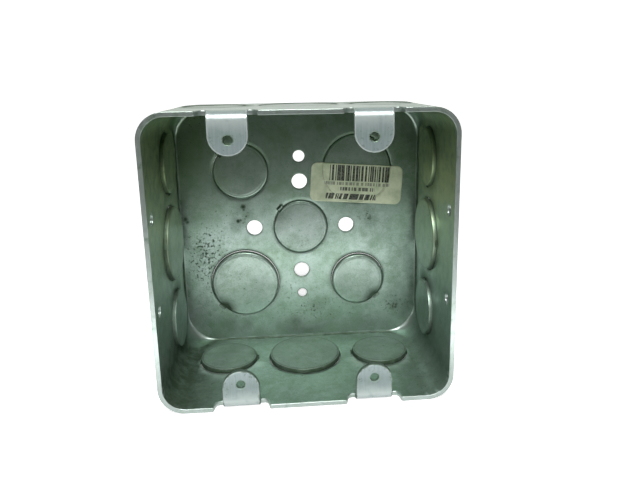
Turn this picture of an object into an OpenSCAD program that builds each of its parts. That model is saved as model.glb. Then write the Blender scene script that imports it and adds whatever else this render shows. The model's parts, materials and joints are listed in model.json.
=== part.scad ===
// Square two-gang electrical junction box, drawn from one steel sheet.
// It stands upright on its bottom wall: +Z is up, the open side faces -Y, the back is at +Y.
// Origin: middle of the footprint, on the bottom wall's outer face. Millimetres.

/* [Box] */
// outside width and height of the square box
box_size = 101.6; // [99:0.2:110]
// outside depth from the rim to the back
box_depth = 54; // [50:0.5:60]
// thickness of the steel sheet
sheet = 1.6; // [1.3:0.05:1.75]
// outside radius of the four deep corners
corner_r = 9; // [6:0.5:9.2]
// inside radius of the fold between walls and back
fold_r = 0.5; // [0.3:0.1:1.2]

/* [Device ears] */
// distance between the left and right ear screws
ear_span_w = 46.04; // [44:0.02:48]
// distance between the upper and lower ear screws
ear_span_h = 83.34; // [81:0.02:85]
// width of an ear
ear_w = 12.7; // [11:0.1:14.5]
// from the screw hole's centre to the tip of the ear
ear_reach = 5; // [4.5:0.1:6.5]
// tapping hole of the ear screws
ear_hole_r = 1.5; // [1.3:0.05:1.8]
// how far the front of an ear lies behind the rim
ear_drop = 1; // [0.6:0.1:1.4]
// depth of the cut-out in the rim beside an ear
notch_depth = 4; // [3.6:0.1:5]
// width of that cut-out at the rim
notch_w_rim = 19.2; // [18.2:0.1:21]
// width of that cut-out at its floor
notch_w_floor = 17.6; // [15.5:0.1:18]

/* [Holes] */
// circle that the four mounting holes in the back lie on
mount_pcd = 38.1; // [36:0.1:40]
// radius of a mounting hole
mount_hole_r = 3.15; // [2.8:0.05:3.4]
// small holes above and below the mounting holes, from the middle of the back
small_hole_up = 29.4; // [28:0.1:31]
// radius of the upper small hole
upper_hole_r = 2.35; // [2:0.05:2.5]
// radius of the lower small hole, tapped for the earth screw
earth_hole_r = 1.9; // [1.7:0.05:2.1]
// distance between the two nail holes in a side wall
nail_span = 31.8; // [30:0.1:34]
// nail holes, from the rim to their centres
nail_from_rim = 6.2; // [5:0.1:8]
// radius of a nail hole
nail_hole_r = 2; // [1.6:0.05:2.4]

/* [Knockouts] */
// hole radius of a half-inch trade size knockout
half_r = 11.1; // [10.8:0.05:11.3]
// hole radius of a three-quarter-inch trade size knockout
three_quarter_r = 14.1; // [13.8:0.05:14.3]
// corner knockouts of the back, in from the outer faces of the walls to their centres
back_ko_in = 27; // [26.2:0.1:27.4]
// outer knockouts of a wall, in from the next wall's outer face to their centres
side_ko_in = 20.5; // [20.4:0.05:21]
// knockouts of the walls, from the back's outer face to their centres
side_ko_up = 19.5; // [18.5:0.1:21]
// sheared gap round a knockout
shear_gap = 0.15; // [0.12:0.01:0.25]
// how far the side and bottom walls' knockouts are already pushed in
push_walls = 1.6; // [1.2:0.05:1.7]
// how far the top wall's knockouts are pushed in
push_top = 0.35; // [0.1:0.05:0.5]
// how far the two lower knockouts of the back are pushed in
push_lower = 1.3; // [0.8:0.05:1.6]
// how far the knockout in the middle of the back is pushed in
push_centre = 0.6; // [0.3:0.05:1]
// how far the knockout under the label is pushed in
push_labelled = 0.3; // [0:0.05:0.5]
// tilt of the back's knockouts about their ties
tilt_angle_back = 1.5; // [0:0.25:2]
// tilt of the side and bottom walls' knockouts about their ties
tilt_angle_walls = 1; // [0:0.25:1.25]
// radius of the bent tie that holds a knockout
tie_r = 0.5; // [0.4:0.05:0.6]
// width of a tie
tie_w = 3; // [2:0.1:4]

/* [Label] */
// width of the paper label
label_w = 38; // [36:0.1:39]
// height of the label
label_h = 16.2; // [16:0.1:17]
// corner radius of the label
label_r = 2.6; // [1:0.1:4]
// thickness of the label
label_t = 0.12; // [0.1:0.01:0.2]
// middle of the label, to the left of the knockout that it is stuck across
label_aside = 0.2; // [0:0.1:1]
// middle of the label, below that knockout's centre
label_down = 6.4; // [6.3:0.05:6.6]
// turn of the label, clockwise from the front
label_turn = 4.3; // [0:0.1:6]

/* [Hidden] */
$fn = 96;

steel = [0.66, 0.71, 0.67];
steel_disc = [0.6, 0.66, 0.62];
paper = [0.8, 0.82, 0.72];

half_box = box_size / 2;
inner_half = half_box - sheet;
corner_c = half_box - corner_r;   // axes of the deep corners
outer_fold = fold_r + sheet;

notch_floor = box_depth - notch_depth;
ear_bend_out = notch_depth - ear_drop;   // outside radius of an ear's bend
ear_bend_in = ear_bend_out - sheet;
ear_round = ear_w / 2;                   // half-round tip of an ear
ear_hole_up = ear_span_h / 2;
ear_tip_c = ear_hole_up - ear_reach + ear_round;

back_ko_off = half_box - back_ko_in;   // corner knockouts, from the back's centre lines
side_ko_off = half_box - side_ko_in;   // outer knockouts of a wall, from its middle

tie_out = tie_r;              // hinge line of a tie, outside its hole's edge
tie_in = 2.4 * tie_r;         // the tie's web reaches this far in over the disc
web_t = 1.4 * tie_r;          // thickness of that web

over = 1;                     // how far a cutter runs past what it cuts

right = 0;                    // the walls, as quarter turns about the box's axis
top = 1;
left = 2;
bottom = 3;
to_rim = 0;                   // the tie's place on a wall knockout's edge
to_middle = 90;
up_right = 45;                // the tie's place on a back knockout's edge
up_left = 135;
down_left = 225;
down_right = 315;

// The pieces are drawn with the back flat on z = 0 and the rim up, then stood upright.
module upright() {
    translate([0, box_depth / 2, half_box])
        rotate([90, 0, 0])
            children();
}

// A place on the back's inner face, with x towards the tie and z into the box.
module on_back(x, y, tie) {
    translate([x, y, sheet])
        rotate([0, 0, tie])
            children();
}

// A place on a wall's inner face, the same way. along runs to the left, seen from inside.
module on_wall(wall, along, tie) {
    rotate([0, 0, 90 * wall])
        translate([inner_half, along, side_ko_up])
            rotate([0, -90, 0])
                rotate([0, 0, tie])
                    children();
}

// ---- the drawn shell with its four ears ----

// Section of the sheet from the axis of a deep corner out to the wall and up to the rim.
module sheet_section() {
    square([corner_r - outer_fold, sheet]);
    translate([corner_r - sheet, outer_fold])
        square([sheet, box_depth - outer_fold]);
    translate([corner_r - outer_fold, outer_fold])
        intersection() {
            difference() {
                circle(r = outer_fold);
                circle(r = fold_r);
            }
            translate([0, -outer_fold])
                square(outer_fold);
        }
}

module drawn_sheet() {
    translate([-corner_c, -corner_c, 0])
        cube([2 * corner_c, 2 * corner_c, sheet]);
    for (quarter = [0:3])
        rotate([0, 0, 90 * quarter]) {
            translate([corner_c, 0, 0])
                rotate([90, 0, 0])
                    linear_extrude(height = 2 * corner_c, center = true)
                        sheet_section();
            translate([corner_c, corner_c, 0])
                rotate_extrude(angle = 90)
                    sheet_section();
        }
}

module at_ears() {
    for (side = [-1, 1], turn = [0, 180])
        rotate([0, 0, turn])
            translate([side * ear_span_w / 2, 0, 0])
                children();
}

// Cut-out in the rim with slanting sides.
module rim_notch() {
    translate([0, inner_half - over, notch_floor])
        rotate([-90, 0, 0])
            linear_extrude(height = sheet + 2 * over)
                polygon([
                    [-notch_w_floor / 2, 0],
                    [notch_w_floor / 2, 0],
                    [notch_w_rim / 2, -notch_depth],
                    [notch_w_rim / 2, -notch_depth - over],
                    [-notch_w_rim / 2, -notch_depth - over],
                    [-notch_w_rim / 2, -notch_depth],
                ]);
}

// Tab of the wall, bent inwards behind the rim.
module ear() {
    translate([0, half_box - ear_bend_out, notch_floor])
        rotate([90, 0, 90])
            linear_extrude(height = ear_w, center = true)
                intersection() {
                    difference() {
                        circle(r = ear_bend_out);
                        circle(r = ear_bend_in);
                    }
                    square(ear_bend_out);
                }
    translate([0, 0, notch_floor + ear_bend_in])
        difference() {
            union() {
                translate([-ear_round, ear_tip_c, 0])
                    cube([ear_w, half_box - ear_bend_out - ear_tip_c, sheet]);
                translate([0, ear_tip_c, 0])
                    cylinder(r = ear_round, h = sheet);
            }
            translate([0, ear_hole_up, -over])
                cylinder(r = ear_hole_r, h = sheet + 2 * over);
        }
}

// Round cutter through the sheet, centred on a place on its inner face.
module through(r) {
    translate([0, 0, -sheet - over])
        cylinder(r = r, h = sheet + 2 * over);
}

module back_holes() {
    for (turn = [0:90:270])
        rotate([0, 0, turn])
            on_back(mount_pcd / 2, 0, 0)
                through(mount_hole_r);
    on_back(0, small_hole_up, 0)
        through(upper_hole_r);
    on_back(0, -small_hole_up, 0)
        through(earth_hole_r);
    on_back(0, 0, 0)
        through(half_r);
    for (side = [-1, 1]) {
        on_back(side * back_ko_off, -side * back_ko_off, 0)
            through(half_r);
        on_back(side * back_ko_off, side * back_ko_off, 0)
            through(three_quarter_r);
    }
}

module wall_holes() {
    for (wall = [right, top, left, bottom]) {
        on_wall(wall, 0, 0)
            through(three_quarter_r);
        for (side = [-1, 1])
            on_wall(wall, side * side_ko_off, 0)
                through(half_r);
    }
    for (wall = [right, left], side = [-1, 1])
        on_wall(wall, side * nail_span / 2, 0)
            translate([box_depth - nail_from_rim - side_ko_up, 0, 0])
                through(nail_hole_r);
}

module box_shell() {
    color(steel)
        upright() {
            difference() {
                drawn_sheet();
                at_ears()
                    rim_notch();
                back_holes();
                wall_holes();
            }
            at_ears()
                ear();
        }
}

// ---- the knockouts ----

// Lifts a knockout's far edge about the hinge line of its tie.
module tilted(hole_r, lift) {
    translate([hole_r + tie_out, 0, tie_r])
        rotate([0, lift, 0])
            translate([-hole_r - tie_out, 0, -tie_r])
                children();
}

// Disc sheared from the sheet, with the tie that still holds it. x points at the tie.
module knockout(hole_r, push, lift) {
    color(steel_disc)
        tilted(hole_r, lift) {
            translate([0, 0, push - sheet])
                cylinder(r = hole_r - shear_gap, h = sheet);
            translate([hole_r + tie_out, 0, tie_r])
                rotate([90, 0, 0])
                    cylinder(r = tie_r, h = tie_w, center = true);
            translate([hole_r - tie_in, -tie_w / 2, tie_r - web_t / 2])
                cube([tie_in + tie_out, tie_w, web_t]);
            if (push < web_t)
                translate([hole_r - tie_in, -tie_w / 2, push - sheet / 2])
                    cube([tie_in - shear_gap, tie_w, tie_r - push + sheet / 2]);
        }
}

module knockout_back_centre() {
    upright()
        on_back(0, 0, up_left)
            knockout(half_r, push_centre, tilt_angle_back);
}

module knockout_back_upper_left() {
    upright()
        on_back(-back_ko_off, back_ko_off, up_left)
            knockout(half_r, 0, 0);
}

module knockout_back_upper_right() {
    upright()
        on_back(back_ko_off, back_ko_off, up_right)
            knockout(three_quarter_r, push_labelled, 0);
}

module knockout_back_lower_left() {
    upright()
        on_back(-back_ko_off, -back_ko_off, down_left)
            knockout(three_quarter_r, push_lower, tilt_angle_back);
}

module knockout_back_lower_right() {
    upright()
        on_back(back_ko_off, -back_ko_off, down_right)
            knockout(half_r, push_lower, tilt_angle_back);
}

// The middle knockout of a wall, tied on the rim side.
module wall_middle(wall, push, lift) {
    upright()
        on_wall(wall, 0, to_rim)
            knockout(three_quarter_r, push, lift);
}

// An outer knockout of a wall, tied on the side of the wall's middle.
module wall_outer(wall, side, push, lift) {
    upright()
        on_wall(wall, side * side_ko_off, -side * to_middle)
            knockout(half_r, push, lift);
}

// The discs of the side and bottom walls stand well in; those of the top wall hardly do.
module pushed_middle(wall) { wall_middle(wall, push_walls, tilt_angle_walls); }
module pushed_outer(wall, side) { wall_outer(wall, side, push_walls, tilt_angle_walls); }

module knockout_right_upper() { pushed_outer(right, 1); }
module knockout_right_middle() { pushed_middle(right); }
module knockout_right_lower() { pushed_outer(right, -1); }
module knockout_top_left() { wall_outer(top, 1, push_top, 0); }
module knockout_top_middle() { wall_middle(top, push_top, 0); }
module knockout_top_right() { wall_outer(top, -1, push_top, 0); }
module knockout_left_upper() { pushed_outer(left, -1); }
module knockout_left_middle() { pushed_middle(left); }
module knockout_left_lower() { pushed_outer(left, 1); }
module knockout_bottom_left() { pushed_outer(bottom, -1); }
module knockout_bottom_middle() { pushed_middle(bottom); }
module knockout_bottom_right() { pushed_outer(bottom, 1); }

// ---- the paper label, torn along the sheared edge of the knockout it is stuck across ----

module label_outline() {
    translate([back_ko_off - label_aside, back_ko_off - label_down])
        rotate([0, 0, -label_turn]) {
            square([label_w, label_h - 2 * label_r], center = true);
            square([label_w - 2 * label_r, label_h], center = true);
            for (sx = [-1, 1], sy = [-1, 1])
                translate([sx * (label_w / 2 - label_r), sy * (label_h / 2 - label_r)])
                    circle(r = label_r);
        }
}

module label_on_back() {
    color(paper)
        upright()
            translate([0, 0, sheet])
                linear_extrude(height = label_t)
                    difference() {
                        label_outline();
                        translate([back_ko_off, back_ko_off])
                            circle(r = three_quarter_r);
                        circle(r = half_r + shear_gap);   // clear of the middle knockout
                    }
}

module label_on_knockout() {
    color(paper)
        upright()
            translate([0, 0, sheet + push_labelled])
                linear_extrude(height = label_t)
                    intersection() {
                        label_outline();
                        translate([back_ko_off, back_ko_off])
                            circle(r = three_quarter_r - shear_gap);
                    }
}

box_shell();
knockout_back_centre();
knockout_back_upper_left();
knockout_back_upper_right();
knockout_back_lower_left();
knockout_back_lower_right();
knockout_right_upper();
knockout_right_middle();
knockout_right_lower();
knockout_top_left();
knockout_top_middle();
knockout_top_right();
knockout_left_upper();
knockout_left_middle();
knockout_left_lower();
knockout_bottom_left();
knockout_bottom_middle();
knockout_bottom_right();
label_on_back();
label_on_knockout();
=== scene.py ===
import bmesh
import bpy
import json
from collections import namedtuple
from math import atan2, cos, hypot, pi, radians, sin
from mathutils import Matrix, Vector, noise
from mathutils.geometry import delaunay_2d_cdt


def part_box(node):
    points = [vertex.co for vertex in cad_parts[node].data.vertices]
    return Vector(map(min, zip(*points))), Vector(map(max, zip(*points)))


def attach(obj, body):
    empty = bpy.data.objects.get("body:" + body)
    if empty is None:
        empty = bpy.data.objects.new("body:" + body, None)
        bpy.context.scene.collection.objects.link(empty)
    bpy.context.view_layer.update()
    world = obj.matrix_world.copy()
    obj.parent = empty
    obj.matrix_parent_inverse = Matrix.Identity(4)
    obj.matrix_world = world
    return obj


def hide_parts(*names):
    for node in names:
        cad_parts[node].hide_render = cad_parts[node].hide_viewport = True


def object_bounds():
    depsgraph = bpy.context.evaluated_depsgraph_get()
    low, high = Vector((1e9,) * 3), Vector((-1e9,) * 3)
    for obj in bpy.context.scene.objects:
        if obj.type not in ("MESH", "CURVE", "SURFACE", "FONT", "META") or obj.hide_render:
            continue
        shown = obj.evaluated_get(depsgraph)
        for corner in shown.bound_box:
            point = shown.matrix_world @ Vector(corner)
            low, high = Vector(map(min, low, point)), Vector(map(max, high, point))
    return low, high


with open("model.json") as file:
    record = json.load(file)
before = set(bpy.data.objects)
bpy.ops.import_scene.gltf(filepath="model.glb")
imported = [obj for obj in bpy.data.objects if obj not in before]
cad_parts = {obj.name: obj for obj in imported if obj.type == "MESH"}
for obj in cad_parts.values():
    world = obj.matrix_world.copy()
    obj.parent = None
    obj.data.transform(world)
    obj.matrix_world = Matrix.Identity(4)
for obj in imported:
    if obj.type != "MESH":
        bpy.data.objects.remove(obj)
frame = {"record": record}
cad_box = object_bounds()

scene = bpy.context.scene

# ---- the camera ----
# It stands about a hand's span in front of the open side, a little left of the middle and
# above the box, and looks slightly down into it.
camera_data = bpy.data.cameras.new("camera")
camera_data.sensor_width = 36
camera_data.lens = 31.75
camera_data.shift_x = -0.0155
camera_data.shift_y = -0.0565
camera_data.clip_start = 0.01
camera = bpy.data.objects.new("camera", camera_data)
camera.location = (-0.0052, -0.2027, 0.1104)
camera.rotation_euler = (radians(77.56), radians(0.90), radians(-4.62))
scene.collection.objects.link(camera)
scene.camera = camera

# ---- the drawn shell ----
# One blank of galvanised sheet steel, deep-drawn to a square cup. Its holes are punched, the
# rim is trimmed and notched, and four tabs of the rim are bent inwards as ears for the screws.
# Sizes are millimetres, in the lying box: x to the right, y up the back, z from the back's
# outer face to the rim.
mm = 0.001
mounts = {m["name"]: m for m in frame["record"]["mounts"]}
shell_low, shell_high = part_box("box_shell")
half = (shell_high.x - shell_low.x) / mm / 2
depth = (shell_high.y - shell_low.y) / mm
sheet = mounts["conduit_back_centre"]["dims"]["length_mm"]
corner_r = 9
corner_at = half - corner_r
fold_r = 0.7                          # inside, along the straight sides
fold_ease = 0.15                      # how much flatter the fold gets where it is wider
flat_r = 13                           # corner of the back's flat, where the fold widens
flat_half = half - sheet - fold_r
flat_at = flat_half - flat_r
edge_r = 0.2                          # of a cut edge, rounded by the zinc
hole_sides = 72
ears = mounts["device_ears"]["dims"]
ear_x = ears["spacing_x_mm"] / 2
ear_hole_in = half - ears["spacing_y_mm"] / 2
ear_half = 6.35
ear_reach = 5
notch_floor = depth - 4
notch_half_rim = 9.6
notch_half_floor = 8.8
notch_rounds = (0.7, 1.5, 0.5)        # at the rim, at the floor, and at the tab's root
bend_r = 1.4                          # inside the bend of an ear
bend_length = pi / 2 * (bend_r + sheet / 2)
ear_gauge = bend_r + sheet            # from the wall's outer face to where the ear is flat


def standing(x, y, z):
    """A place in the lying box, in the upright frame and in metres."""
    return Vector((x * mm, shell_high.y - z * mm, (y + half) * mm))


def lying(place):
    """A place in the upright frame, in the lying box's millimetres."""
    return place[0] / mm, place[2] / mm - half, (shell_high.y - place[1]) / mm


def quarter(k, x, y):
    """Turns a place on the right-hand wall round to wall k: right, top, left, bottom."""
    c, s = ((1, 0), (0, 1), (-1, 0), (0, -1))[k % 4]
    return x * c - y * s, x * s + y * c


def steps(a, b, n):
    return [a + (b - a) * i / n for i in range(n + 1)]


# Stations along a wall, round the corner that follows it, round the fold and up the wall.
wall_stations = steps(-corner_at, corner_at, 44)
corner_turns = steps(0, pi / 2, 12)
fold_turns = steps(0, pi / 2, 9)
wall_shares = steps(0, 1, 16)
# The length of wall that the round corner of the back's flat is spread along.
corner_run = 2 * (corner_at - flat_at) + pi / 2 * (corner_r - sheet / 2)


def round_corner(share, r):
    """On the flat's outline, or one parallel to it: share 0 to 1 goes round a corner."""
    return flat_at + r * cos(share * pi / 2), flat_at + r * sin(share * pi / 2)


def flat_edge(along, inset=0):
    """Edge of the back's flat beside a station of the right-hand wall."""
    r = flat_r - inset
    if abs(along) <= flat_at:
        return flat_at + r, along
    x, y = round_corner((abs(along) - flat_at) / corner_run, r)
    return x, y if along > 0 else -y


def flat_edge_turned(turn, inset=0):
    """Edge of the back's flat beside a station of the corner after the right-hand wall."""
    run = corner_at - flat_at + turn * (corner_r - sheet / 2)
    return round_corner(run / corner_run, flat_r - inset)


def wall_edge(along, t):
    return half - sheet + t, along


def wall_edge_turned(turn, t):
    r = corner_r - sheet + t
    return corner_at + r * cos(turn), corner_at + r * sin(turn)


def fold_height(flat, wall):
    """A straight fold is as high as it is wide. Round a corner it starts as tightly at the
    flat's edge, then slopes up to the wall."""
    width = hypot(wall[0] - flat[0], wall[1] - flat[1])
    return width ** 2 / (fold_r + fold_ease * (width - fold_r))


shell = bmesh.new()
# grime also marks painted shade, and wear marks painted highlights and glints
states = ("grime", "wear", "clean", "soiled", "tarnish")
state_of = {name: shell.verts.layers.float.new(name) for name in states}


def shell_vert(place, **values):
    """A vertex in the lying box, and the states that the zinc is in there, 0 to 1."""
    v = shell.verts.new(standing(*place))
    for name, value in values.items():
        v[state_of[name]] = value
    return v


def skin(made, rows):
    """Faces between rows of vertices."""
    for low, high in zip(rows, rows[1:]):
        for a, b, c, d in zip(low, low[1:], high[1:], high):
            if len({a, b, c, d}) == 4:
                made.faces.new((a, b, c, d))


def fold_look(turn, width, dirt):
    """A painted highlight along the flat's edge, then grime and painted shade. Round a corner the
    line is dark, painted shade, and a wider painted highlight follows it."""
    at_corner = min(1, max(0, width - fold_r) / 1.2)
    grime = min(1, turn / 0.35) * 0.9
    corner_grime_and_shade = max(0.7 - turn * 4, min(dirt, (turn - 0.7) * 0.8), 0)
    wear = max(0, 0.8 - turn * 2.5)
    corner_highlight = max(0, 1 - abs(turn - 0.45) / 0.5)
    return {"grime": grime + (corner_grime_and_shade - grime) * at_corner,
            "wear": wear + (corner_highlight - wear) * at_corner}


def fold_skin(flats, walls_in, walls_out, k, dirt):
    """The fold beside one run of stations of wall k, on both faces of the sheet."""
    for walls, t in ((walls_in, 0), (walls_out, sheet)):
        rows = []
        for turn in fold_turns:
            row = []
            for flat, wall, inner in zip(flats, walls, walls_in):
                rise = fold_height(flat, inner) + t
                x = flat[0] + (wall[0] - flat[0]) * sin(turn)
                y = flat[1] + (wall[1] - flat[1]) * sin(turn)
                z = sheet - t + rise * (1 - cos(turn))
                width = hypot(inner[0] - flat[0], inner[1] - flat[1])
                values = fold_look(turn, width, dirt) if t == 0 else {}
                row.append(shell_vert((*quarter(k, x, y), z), **values))
            rows.append(row)
        skin(shell, rows)


# Round holes of a flat stretch of the sheet: place, radius, and how far the sheet dishes
# round it where a knockout was sheared and knocked. No other hole has a dished edge.
dish_wide = 1.6
dish_narrow = 0.38                    # beside the round corners, where there is no more room
dish_deep = 0.2
dish_rings = (0.5, 0.95)              # rings of points that carry a wide dish
plain_ring = 0.6                      # the ring of points round a plain hole
fill_pitch = 4                        # points that fill a flat stretch,
fill_clear = 1.3                      # and how far they keep off its lines


def hole_rings(holes):
    """Rings of points round each hole, the first one on the hole's rounded edge."""
    rings = []
    for x, y, r, dish in holes:
        outs = (edge_r, *dish_rings, dish) if dish > 1 else (edge_r, dish or plain_ring)
        turns = [2 * pi * i / hole_sides for i in range(hole_sides)]
        for out in outs:
            rings.append([(x + (r + out) * cos(a), y + (r + out) * sin(a)) for a in turns])
    return rings


def off_hole(p, holes):
    """Distance to the nearest hole's edge, and the reach of that hole's dish."""
    return min((hypot(p[0] - x, p[1] - y) - r, dish) for x, y, r, dish in holes)


def dished(gap, dish):
    """How deep the sheet lies at a distance from a hole's edge."""
    return dish_deep * min(1, dish) * max(0, 1 - gap / dish) ** 2 if dish else 0


def inside(p, outline):
    """Whether a point lies inside a closed outline."""
    odd = False
    for (x0, y0), (x1, y1) in zip(outline, outline[1:] + outline[:1]):
        if (y0 > p[1]) != (y1 > p[1]) and p[0] < (x1 - x0) * (p[1] - y0) / (y1 - y0) + x0:
            odd = not odd
    return odd


def flat_skin(outline, holes, lines, place, look):
    """Both faces of a flat stretch, with its holes. lines are further rows of points."""
    points = []
    edges = []

    def add(row, closed):
        start = len(points)
        points.extend(row)
        count = len(row)
        edges.extend((start + i, start + (i + 1) % count) for i in range(count - 1 + closed))

    add(outline, True)
    for ring in hole_rings(holes):
        add(ring, True)
    for line in lines:
        add(line, False)
    crowded = list(points)
    low = [min(p[i] for p in outline) for i in (0, 1)]
    high = [max(p[i] for p in outline) for i in (0, 1)]
    for i in range(int((high[0] - low[0]) / fill_pitch)):
        for j in range(int((high[1] - low[1]) / fill_pitch)):
            shift = 0.5 + 0.5 * (j % 2)
            p = (low[0] + (i + shift) * fill_pitch, low[1] + (j + 0.5) * fill_pitch)
            near = off_hole(p, holes)[0] < dish_wide + 1
            if near or not inside(p, outline):
                continue
            if min(hypot(p[0] - q[0], p[1] - q[1]) for q in crowded) > fill_clear:
                points.append(p)
    spots, _, faces, *_ = delaunay_2d_cdt([Vector(p) for p in points], edges, [], 0, 1e-5)
    rim_share = cos(pi / hole_sides)
    kept = []
    for face in faces:
        middle = sum((spots[i] for i in face), Vector((0, 0))) / len(face)
        clear = all(hypot(middle.x - x, middle.y - y) > (r + edge_r) * rim_share
                    for x, y, r, _ in holes)
        if clear and inside(middle, outline):
            kept.append(face)
    for t in (0, sheet):
        verts = []
        for spot in spots:
            sunk = dished(*off_hole(spot, holes)) if t == 0 else 0
            verts.append(shell_vert(place(spot[0], spot[1], t + sunk), **look(spot, t, holes)))
        for face in kept:
            shell.faces.new([verts[i] for i in face])
        for v in verts:
            if not v.link_faces:
                shell.verts.remove(v)


def edge_section():
    """Section through a cut edge: how far in from the edge, and how deep in the sheet."""
    turns = steps(0, pi / 2, 3)
    front = [(edge_r * (1 - sin(a)), edge_r * (1 - cos(a))) for a in turns]
    return front + [(inset, sheet - t) for inset, t in reversed(front)]


plain_hole_grime = 0.35


def hole_edges(holes, place, shade):
    """The cut edges of the holes. A knockout's carries as much grime and painted shade as shade
    says; a plain one is a little grimy, or painted with a bright glint where shade is nothing."""
    for x, y, r, dish in holes:
        rows = []
        for inset, t in edge_section():
            t_here = t + dished(inset, dish) * (1 - t / sheet)
            row = []
            for i in range(hole_sides + 1):
                a = 2 * pi * i / hole_sides
                p = x + (r + inset) * cos(a), y + (r + inset) * sin(a)
                if dish:
                    values = {"grime": shade(p)}
                else:
                    values = {"grime": plain_hole_grime} if shade(p) else {"wear": 1.0}
                row.append(shell_vert(place(*p, t_here), **values))
            rows.append(row)
        skin(shell, rows)


def ring_look(p, holes):
    """A narrow dark ring and a faint wide one round a knockout, a faint one round a hole: grime
    and painted shade.
    """
    gap, dish = off_hole(p, holes)
    dirt = max(1 - gap / 0.8, 0.4 - gap / 3.5) if dish else plain_hole_grime - gap / 1.5
    return {"grime": max(0, dirt)}


# The back.
back_holes = []
for name, mount in mounts.items():
    if name.startswith("conduit_back"):
        x, y, _ = lying(mount["pos_m"])
        back_holes.append((x, y, mount["dims"]["r_mm"], dish_wide))
for name in ("upper_small_hole", "earth_screw_hole"):
    x, y, _ = lying(mounts[name]["pos_m"])
    back_holes.append((x, y, mounts[name]["dims"]["r_mm"], 0))
screws = mounts["back_mounting_holes"]["dims"]
for k in range(screws["count"]):
    x, y = quarter(k, screws["pcd_mm"] / 2, 0)
    back_holes.append((x, y, screws["hole_r_mm"], 0))


def back_outline(inset):
    """The edge of the back's flat, or a line inside it."""
    loop = []
    for k in range(4):
        run = [flat_edge(u, inset) for u in wall_stations[:-1]]
        run += [flat_edge_turned(turn, inset) for turn in corner_turns[:-1]]
        loop += [quarter(k, *p) for p in run]
    return loop


def on_back(x, y, t):
    return x, y, sheet - t


# Where dirt has bitten into the back: middle, reach across and up, and how strongly.
soiled_spots = ((-40, -17, 7, 13, 1.5), (-38, -6, 10, 10, 1.0), (-6, -27, 3, 4.5, 1.4),
                (-26, -37, 5, 2.5, 1.2), (5, -37, 13, 5, 1.5), (39.5, -37, 4.5, 4, 2.1),
                (28, 3, 4.5, 3.5, 1.3), (-24, 5, 4, 5, 1.1), (-41, 44, 5, 4, 1.0),
                (20, -20, 12, 8, 0.5))
# Larger stains: middle, reach, and how dark they are.
stains = ((-23.4, 9.1, 1.1, 1.3), (-23.2, 7.8, 0.7, 0.9), (-25.6, 3.1, 0.9, 1.3),
          (-24.6, 3.4, 0.6, 1.0), (-22.3, 5.0, 0.45, 1.2), (-47.0, 4.6, 1.2, 1.1),
          (-46.2, 3.4, 0.9, 0.9), (40, -37.5, 2.2, 0.6), (29, 2.5, 1.0, 0.7),
          (-31, -42.4, 5, 0.6), (-24, -42.8, 4, 0.5), (-3, -42.8, 3.5, 0.75),
          (6, -35.8, 4, 0.28))
# The back is painted darker along its bottom: where that starts, how wide it grows, and how dark.
bottom_darkening = (-37, 10, 0.45)
# The dark rings round the knockouts are painted shade that fades to one side: quarter of the
# back, darkest side, how dark it is there and on the far side.
fading_rings = ((-1, 1, radians(50), 1.0, 0.05), (1, 1, radians(125), 0.9, 0.2),
                (-1, -1, radians(105), 1.0, 0.3), (1, -1, radians(100), 1.0, 0.3),
                (0, 0, 0.0, 0.5, 0.4))
corner_knockout_in = 27               # from the walls' outer faces
ring_reach = 17


def fading(x):
    """1 at 0, and less the further off."""
    return 2.718 ** -x


def ring_shade(p):
    """How dark a knockout's ring is at a point of the back."""
    for side_x, side_y, darkest, most, least in fading_rings:
        x, y = side_x * (half - corner_knockout_in), side_y * (half - corner_knockout_in)
        if hypot(p[0] - x, p[1] - y) < ring_reach:
            side = 0.35 + 0.65 * cos(atan2(p[1] - y, p[0] - x) - darkest)
            return least + (most - least) * max(0, side)
    return 1


def stain_points():
    """Rows of points that let the stains keep their shape."""
    rows = []
    for x, y, reach, _ in stains:
        for share in (0.35, 0.8, 1.25):
            rows.append([(x + reach * share * cos(a), y + reach * share * sin(a))
                         for a in steps(0.2, 2 * pi - 0.3, 7)])
    clear_of_edge = flat_half - inner_lines[-1] - 0.2
    return [row for row in rows if all(abs(p[1]) < clear_of_edge for p in row)]


def back_look(p, t, holes):
    """States of the back, with the fold's first line on the edge of its inner face."""
    values = ring_look(p, holes)
    values["grime"] *= ring_shade(p)
    if t == 0:
        over = [max(0, abs(q) - flat_at) for q in p]
        if flat_r - hypot(*over) < 0.05:
            values.update(fold_look(0, min(3, fold_r + min(over)), 0))
        darkest = [values["grime"]]
        for x, y, reach, dark in stains:
            off = hypot(p[0] - x, p[1] - y) / reach
            darkest.append(min(1, dark * fading(off ** 2)))
        start, wide, dark = bottom_darkening
        darkest.append(dark * min(1, max(0, start - p[1]) / wide))
        values["grime"] = max(darkest)
        values["soiled"] = sum(amount * fading(((p[0] - x) / wide) ** 2 + ((p[1] - y) / high) ** 2)
                               for x, y, wide, high, amount in soiled_spots)
    return values


inner_lines = (0.4, 1, 2)             # in from the edge of the flat
inner_rows = [back_outline(inset) for inset in inner_lines]
flat_skin(back_outline(0), back_holes, [row + row[:1] for row in inner_rows] + stain_points(),
          on_back, back_look)
hole_edges(back_holes, on_back, ring_shade)

# The folds, and the corners of the walls. Dirt and painted shade lie in the two lower corners.
lower_corner_dirt_and_shade = (0.95, 0.65)            # in the left one and in the right one
lower_corner_reach = 20
upper_corner_dirt_and_shade = 0.3                        # in the two upper ones


def corner_dirt_and_shade_at(k, u):
    """How much dirt and painted shade of the nearest lower corner lies at u along wall k."""
    to_corner = corner_at - {0: -u, 1: -corner_at, 2: u, 3: abs(u)}[k]
    on_left = k == 2 or (k == 3 and u < 0)
    return lower_corner_dirt_and_shade[0 if on_left else 1] * max(0, 1 - to_corner / lower_corner_reach)


rim_section = edge_section()


def rim_look(t):
    """The rim is rubbed bright and painted with a highlight, but for a dark line of painted shade
    along its outer edge.
    """
    return {"grime": 0.8} if t > sheet - edge_r / 2 else {"wear": 1.0}


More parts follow.
